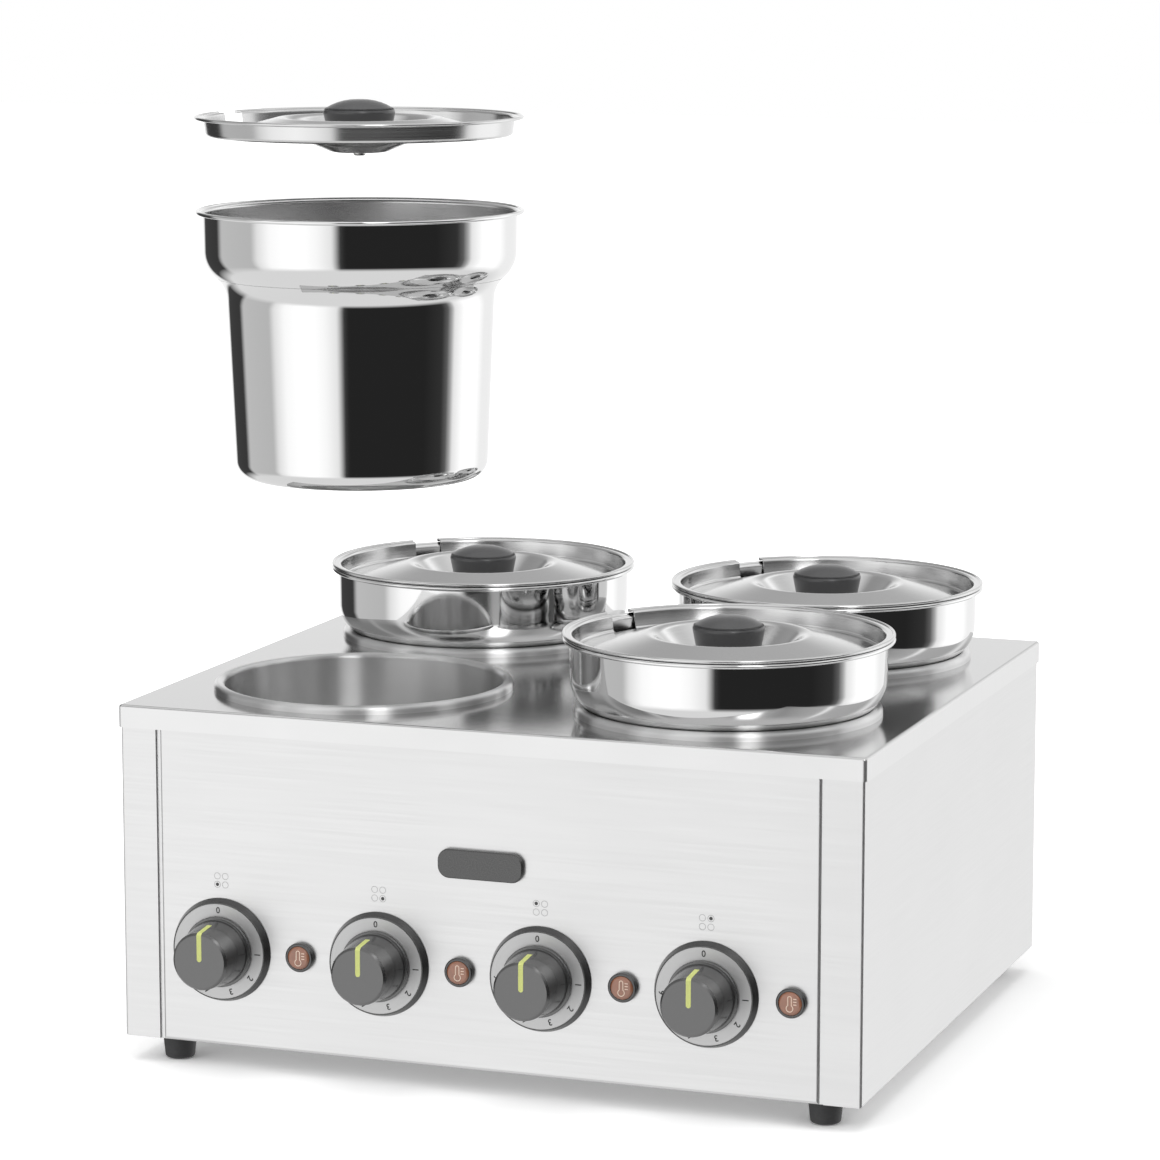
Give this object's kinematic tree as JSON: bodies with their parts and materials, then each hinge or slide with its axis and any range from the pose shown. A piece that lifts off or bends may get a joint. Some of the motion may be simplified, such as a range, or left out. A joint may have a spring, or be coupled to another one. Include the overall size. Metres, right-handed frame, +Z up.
{
  "type": "bain marie",
  "caption": "Counter-top electric bain marie: a steel box on rubber feet with round wells, lift-out lidded pots, numbered thermostat dials and pilot lamps.",
  "frame": {"origin": "on the floor below the middle of the object's outer box; the casing's own middle is 8.65 mm behind it", "axes": "+Z up, -Y towards the front with the dials, +X to the right as seen from the front"},
  "size_m": [0.561, 0.5412, 0.6943],
  "materials": {
    "casing_steel": "satin",
    "base_steel": "zinc-coated, dull",
    "well_steel": "spun, satin",
    "polished_steel": "mirror-polished stainless steel",
    "screw_steel": "bright zinc",
    "heater_steel": "heat-darkened",
    "knob_plastic": "fine satin",
    "lid_knob_plastic": "satin phenolic",
    "bezel_plastic": "satin black",
    "badge_plastic": "satin dark grey",
    "scale_metal": "turned, brushed in circles",
    "lens_plastic": "amber, glossy",
    "foot_rubber": "matt",
    "thermostat_plastic": "moulded phenolic",
    "terminal_plastic": "moulded",
    "wire_plastic": "sleeved"
  },
  "bodies": {
    "casing": {"deck": "casing_steel", "front_panel": "casing_steel", "rear_panel": "casing_steel", "side_panel_left": "casing_steel", "side_panel_right": "casing_steel", "base_plate": "base_steel", "base_screws": "screw_steel", "foot_screws": "screw_steel", "badge_plate": "badge_plastic", "terminal_block": "terminal_plastic", "cable_gland": "bezel_plastic", "wiring_loom": "wire_plastic", "scale_discs": "scale_metal", "lamp_housings": "bezel_plastic", "lamp_lenses": "lens_plastic", "foot_front_left": "foot_rubber", "dial_bezel_front_left": "bezel_plastic", "thermostat_front_left": "thermostat_plastic", "well_front_left": "well_steel", "heater_front_left": "heater_steel", "foot_front_right": "foot_rubber", "dial_bezel_front_right": "bezel_plastic", "thermostat_front_right": "thermostat_plastic", "well_front_right": "well_steel", "heater_front_right": "heater_steel", "foot_rear_left": "foot_rubber", "dial_bezel_rear_left": "bezel_plastic", "thermostat_rear_left": "thermostat_plastic", "well_rear_left": "well_steel", "heater_rear_left": "heater_steel", "foot_rear_right": "foot_rubber", "dial_bezel_rear_right": "bezel_plastic", "thermostat_rear_right": "thermostat_plastic", "well_rear_right": "well_steel", "heater_rear_right": "heater_steel"},
    "control_knob_front_left": {"control_knob_front_left": "knob_plastic", "knob_spindle_front_left": "screw_steel"},
    "pot_front_left": {"pot_front_left": "polished_steel"},
    "lid_front_left": {"lid_front_left": "polished_steel", "lid_knob_front_left": "lid_knob_plastic", "lid_screw_front_left": "screw_steel"},
    "control_knob_front_right": {"control_knob_front_right": "knob_plastic", "knob_spindle_front_right": "screw_steel"},
    "pot_front_right": {"pot_front_right": "polished_steel"},
    "lid_front_right": {"lid_front_right": "polished_steel", "lid_knob_front_right": "lid_knob_plastic", "lid_screw_front_right": "screw_steel"},
    "control_knob_rear_left": {"control_knob_rear_left": "knob_plastic", "knob_spindle_rear_left": "screw_steel"},
    "pot_rear_left": {"pot_rear_left": "polished_steel"},
    "lid_rear_left": {"lid_rear_left": "polished_steel", "lid_knob_rear_left": "lid_knob_plastic", "lid_screw_rear_left": "screw_steel"},
    "control_knob_rear_right": {"control_knob_rear_right": "knob_plastic", "knob_spindle_rear_right": "screw_steel"},
    "pot_rear_right": {"pot_rear_right": "polished_steel"},
    "lid_rear_right": {"lid_rear_right": "polished_steel", "lid_knob_rear_right": "lid_knob_plastic", "lid_screw_rear_right": "screw_steel"}
  },
  "joints": [
    {"name": "control_knob_front_left_turn", "type": "hinge", "parent": "casing", "child": "control_knob_front_left", "pos_m": [-0.201, -0.23135, 0.0892], "axis": [0, 1, 0], "range_deg": [0, 270]},
    {"name": "pot_front_left_lift", "type": "slide", "parent": "casing", "child": "pot_front_left", "axis": [0, 0, 1], "range_m": [-0.296, 0]},
    {"name": "lid_front_left_lift", "type": "slide", "parent": "pot_front_left", "child": "lid_front_left", "axis": [0, 0, 1], "range_m": [-0.0645, 0]},
    {"name": "control_knob_front_right_turn", "type": "hinge", "parent": "casing", "child": "control_knob_front_right", "pos_m": [-0.0785, -0.23135, 0.0892], "axis": [0, 1, 0], "range_deg": [0, 270]},
    {"name": "pot_front_right_lift", "type": "slide", "parent": "casing", "child": "pot_front_right", "axis": [0, 0, 1], "range_m": [0, 0.296]},
    {"name": "lid_front_right_lift", "type": "slide", "parent": "pot_front_right", "child": "lid_front_right", "axis": [0, 0, 1], "range_m": [0, 0.0645]},
    {"name": "control_knob_rear_left_turn", "type": "hinge", "parent": "casing", "child": "control_knob_rear_left", "pos_m": [0.044, -0.23135, 0.0892], "axis": [0, 1, 0], "range_deg": [0, 270]},
    {"name": "pot_rear_left_lift", "type": "slide", "parent": "casing", "child": "pot_rear_left", "axis": [0, 0, 1], "range_m": [0, 0.296]},
    {"name": "lid_rear_left_lift", "type": "slide", "parent": "pot_rear_left", "child": "lid_rear_left", "axis": [0, 0, 1], "range_m": [0, 0.0645]},
    {"name": "control_knob_rear_right_turn", "type": "hinge", "parent": "casing", "child": "control_knob_rear_right", "pos_m": [0.1665, -0.23135, 0.0892], "axis": [0, 1, 0], "range_deg": [0, 270]},
    {"name": "pot_rear_right_lift", "type": "slide", "parent": "casing", "child": "pot_rear_right", "axis": [0, 0, 1], "range_m": [0, 0.296]},
    {"name": "lid_rear_right_lift", "type": "slide", "parent": "pot_rear_right", "child": "lid_rear_right", "axis": [0, 0, 1], "range_m": [0, 0.0645]}
  ]
}
